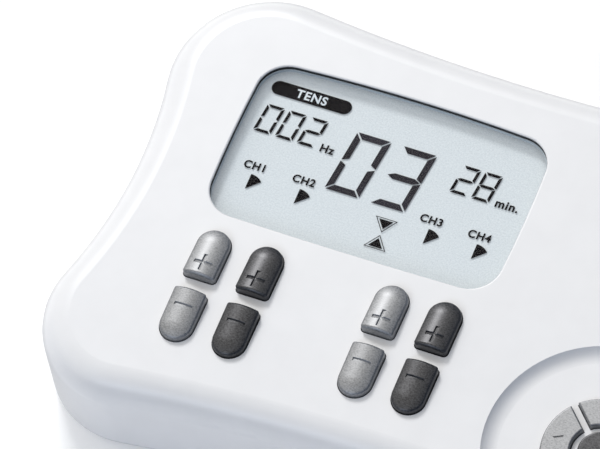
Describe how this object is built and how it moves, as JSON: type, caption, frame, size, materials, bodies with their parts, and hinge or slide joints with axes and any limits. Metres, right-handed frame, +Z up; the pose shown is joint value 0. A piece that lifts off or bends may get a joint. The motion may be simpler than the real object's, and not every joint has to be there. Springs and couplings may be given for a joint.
{
  "type": "tens unit",
  "caption": "Battery-powered muscle-stimulation unit with a waisted white case, recessed display window, plus and minus channel keys, a dished direction pad and lead sockets.",
  "frame": {"origin": "centre of the footprint, on the surface the rubber feet stand on", "axes": "+X to the user's right along the length, +Y to the rear where the lead sockets are, +Z up out of the display face"},
  "size_m": [0.193, 0.1258, 0.0344],
  "materials": {
    "white_shell": "satin-gloss moulded ABS",
    "silver_key": "satin silver metallic lacquer on plastic",
    "gunmetal_key": "satin dark grey metallic lacquer on plastic",
    "black_plastic": "matt black",
    "clear_window": "clear acrylic",
    "lcd": "reflective liquid crystal cell",
    "light_guide": "milky acrylic",
    "silicone": "matt translucent silicone",
    "carbon": "matt carbon-filled silicone",
    "circuit_board": "green solder mask",
    "coil": "taped coil",
    "chip": "matt moulded epoxy",
    "can": "drawn aluminium",
    "nickel": "nickel-plated spring steel",
    "battery_jacket": "plain printed jacket",
    "screw_steel": "zinc-plated",
    "foot_rubber": "matt",
    "socket_black": "moulded nylon"
  },
  "bodies": {
    "case": {"battery_1": "battery_jacket", "battery_2": "battery_jacket", "battery_3": "battery_jacket", "battery_contacts": "nickel", "battery_springs": "nickel", "board_screws": "screw_steel", "buzzer": "chip", "capacitors": "can", "carbon_contacts": "carbon", "case_screws": "screw_steel", "channel_socket_1": "socket_black", "channel_socket_2": "socket_black", "channel_socket_3": "socket_black", "channel_socket_4": "socket_black", "display_lens": "clear_window", "front_shell": "white_shell", "keypad_mat": "silicone", "lcd_backlight": "light_guide", "lcd_bezel": "black_plastic", "lcd_connector_strips": "carbon", "lcd_glass": "lcd", "main_board": "circuit_board", "microcontroller": "chip", "output_transformers": "coil", "rear_shell": "white_shell", "rubber_feet": "foot_rubber", "window_trim": "black_plastic"},
    "battery_cover": {"battery_cover": "white_shell"},
    "channel_1_minus_key": {"channel_1_minus_key": "silver_key"},
    "channel_1_plus_key": {"channel_1_plus_key": "silver_key"},
    "channel_2_minus_key": {"channel_2_minus_key": "gunmetal_key"},
    "channel_2_plus_key": {"channel_2_plus_key": "gunmetal_key"},
    "channel_3_minus_key": {"channel_3_minus_key": "silver_key"},
    "channel_3_plus_key": {"channel_3_plus_key": "silver_key"},
    "channel_4_minus_key": {"channel_4_minus_key": "gunmetal_key"},
    "channel_4_plus_key": {"channel_4_plus_key": "gunmetal_key"},
    "down_key": {"down_key": "silver_key"},
    "enter_key": {"enter_key": "gunmetal_key"},
    "left_key": {"left_key": "silver_key"},
    "menu_key": {"menu_key": "silver_key"},
    "power_key": {"power_key": "gunmetal_key"},
    "right_key": {"right_key": "silver_key"},
    "stop_key": {"stop_key": "silver_key"},
    "up_key": {"up_key": "silver_key"}
  },
  "joints": [
    {"name": "battery_cover_slide", "type": "slide", "parent": "case", "child": "battery_cover", "axis": [0, -1, 0], "range_m": [0, 0.012]},
    {"name": "channel_1_minus_key_press", "type": "slide", "parent": "case", "child": "channel_1_minus_key", "axis": [0, 0, -1], "range_m": [0, 0.0008], "stiffness_N_per_m": 250},
    {"name": "channel_1_plus_key_press", "type": "slide", "parent": "case", "child": "channel_1_plus_key", "axis": [0, 0, -1], "range_m": [0, 0.0008], "stiffness_N_per_m": 250},
    {"name": "channel_2_minus_key_press", "type": "slide", "parent": "case", "child": "channel_2_minus_key", "axis": [0, 0, -1], "range_m": [0, 0.0008], "stiffness_N_per_m": 250},
    {"name": "channel_2_plus_key_press", "type": "slide", "parent": "case", "child": "channel_2_plus_key", "axis": [0, 0, -1], "range_m": [0, 0.0008], "stiffness_N_per_m": 250},
    {"name": "channel_3_minus_key_press", "type": "slide", "parent": "case", "child": "channel_3_minus_key", "axis": [0, 0, -1], "range_m": [0, 0.0008], "stiffness_N_per_m": 250},
    {"name": "channel_3_plus_key_press", "type": "slide", "parent": "case", "child": "channel_3_plus_key", "axis": [0, 0, -1], "range_m": [0, 0.0008], "stiffness_N_per_m": 250},
    {"name": "channel_4_minus_key_press", "type": "slide", "parent": "case", "child": "channel_4_minus_key", "axis": [0, 0, -1], "range_m": [0, 0.0008], "stiffness_N_per_m": 250},
    {"name": "channel_4_plus_key_press", "type": "slide", "parent": "case", "child": "channel_4_plus_key", "axis": [0, 0, -1], "range_m": [0, 0.0008], "stiffness_N_per_m": 250},
    {"name": "down_key_press", "type": "slide", "parent": "case", "child": "down_key", "axis": [0, 0, -1], "range_m": [0, 0.0006], "stiffness_N_per_m": 250},
    {"name": "enter_key_press", "type": "slide", "parent": "case", "child": "enter_key", "axis": [0, 0, -1], "range_m": [0, 0.0006], "stiffness_N_per_m": 250},
    {"name": "left_key_press", "type": "slide", "parent": "case", "child": "left_key", "axis": [0, 0, -1], "range_m": [0, 0.0006], "stiffness_N_per_m": 250},
    {"name": "menu_key_press", "type": "slide", "parent": "case", "child": "menu_key", "axis": [0, 0, -1], "range_m": [0, 0.0008], "stiffness_N_per_m": 250},
    {"name": "power_key_press", "type": "slide", "parent": "case", "child": "power_key", "axis": [0, 0, -1], "range_m": [0, 0.0008], "stiffness_N_per_m": 250},
    {"name": "right_key_press", "type": "slide", "parent": "case", "child": "right_key", "axis": [0, 0, -1], "range_m": [0, 0.0006], "stiffness_N_per_m": 250},
    {"name": "stop_key_press", "type": "slide", "parent": "case", "child": "stop_key", "axis": [0, 0, -1], "range_m": [0, 0.0008], "stiffness_N_per_m": 250},
    {"name": "up_key_press", "type": "slide", "parent": "case", "child": "up_key", "axis": [0, 0, -1], "range_m": [0, 0.0006], "stiffness_N_per_m": 250}
  ]
}
